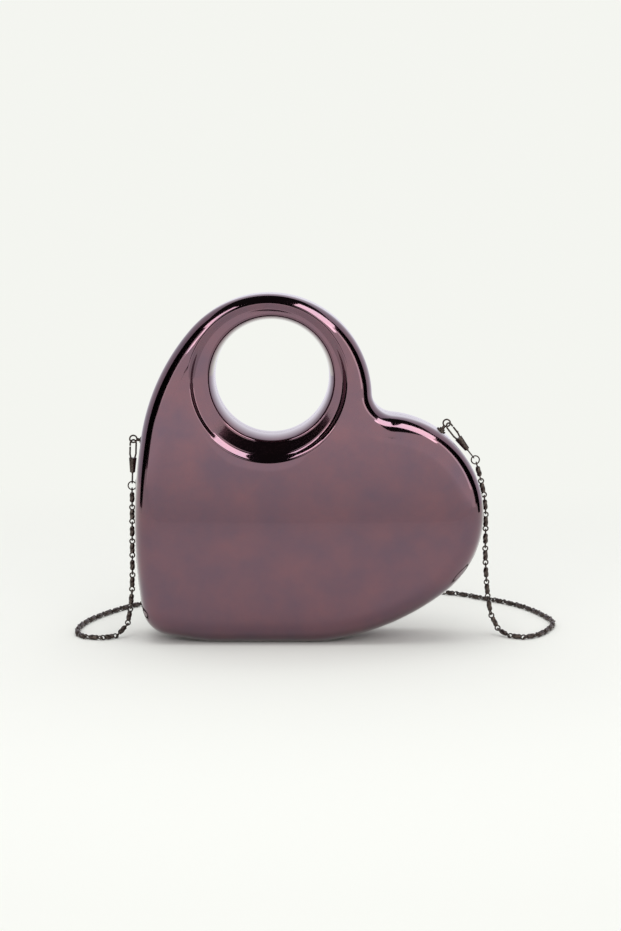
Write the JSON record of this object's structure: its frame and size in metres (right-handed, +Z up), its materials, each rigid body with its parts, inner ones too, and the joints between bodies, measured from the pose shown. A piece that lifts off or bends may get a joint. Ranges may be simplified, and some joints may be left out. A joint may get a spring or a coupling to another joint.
{
  "type": "heart shaped hard case purse",
  "caption": "Hard shell heart shaped purse with a round hand hole, a hinged front half and a barrel link chain clipped to both flanks.",
  "frame": {"origin": "centre of the box of the purse without its chain, on the surface that it stands on", "axes": "+X to the right of the front face, +Y from the front face to the rear face, +Z up"},
  "size_m": [0.3047, 0.1789, 0.213],
  "materials": {
    "shell": "metallised mauve plating, mirror gloss with a faint satin grain",
    "lining": "short pile suede",
    "rim": "moulded satin plastic",
    "steel": "plain steel",
    "gunmetal": "dark brown gunmetal plating",
    "chain": "dark brown gunmetal plating"
  },
  "bodies": {
    "root": {"rear_shell": "shell", "rear_lining": "lining", "rear_rim": "rim", "hole_collar": "rim", "rear_magnets": "steel", "rear_hinge_leaf": "steel", "hinge_pin": "steel", "rear_hinge_screws": "steel", "left_eyelet": "gunmetal", "right_eyelet": "gunmetal", "left_eyelet_nut": "steel", "right_eyelet_nut": "steel", "left_hook": "gunmetal", "right_hook": "gunmetal", "left_gate_pin": "steel", "right_gate_pin": "steel", "left_swivel_eye": "gunmetal", "right_swivel_eye": "gunmetal", "left_jump_ring": "gunmetal", "right_jump_ring": "gunmetal", "chain_left_hang": "chain", "chain_left_floor": "chain", "chain_rear": "chain", "chain_right_floor": "chain", "chain_right_hang": "chain"},
    "lid": {"front_shell": "shell", "front_lining": "lining", "front_rim": "rim", "front_magnets": "steel", "front_hinge_leaf": "steel", "front_hinge_screws": "steel"},
    "left_gate_arm": {"left_gate": "gunmetal"},
    "right_gate_arm": {"right_gate": "gunmetal"}
  },
  "joints": [
    {"name": "lid_hinge", "type": "hinge", "parent": "root", "child": "lid", "pos_m": [-0.10223, 0, 0.07231], "axis": [0, 0, -1], "range_deg": [0, 95]},
    {"name": "left_gate_hinge", "type": "hinge", "parent": "root", "child": "left_gate_arm", "pos_m": [-0.10701, 0.00598, 0.11012], "axis": [-0.7309, 0.682, 0.0255], "range_deg": [0, 20], "stiffness_Nm_per_rad": 0.005},
    {"name": "right_gate_hinge", "type": "hinge", "parent": "root", "child": "right_gate_arm", "pos_m": [0.09673, 0.00802, 0.12325], "axis": [0.5763, -0.682, 0.4503], "range_deg": [0, 20], "stiffness_Nm_per_rad": 0.005}
  ]
}
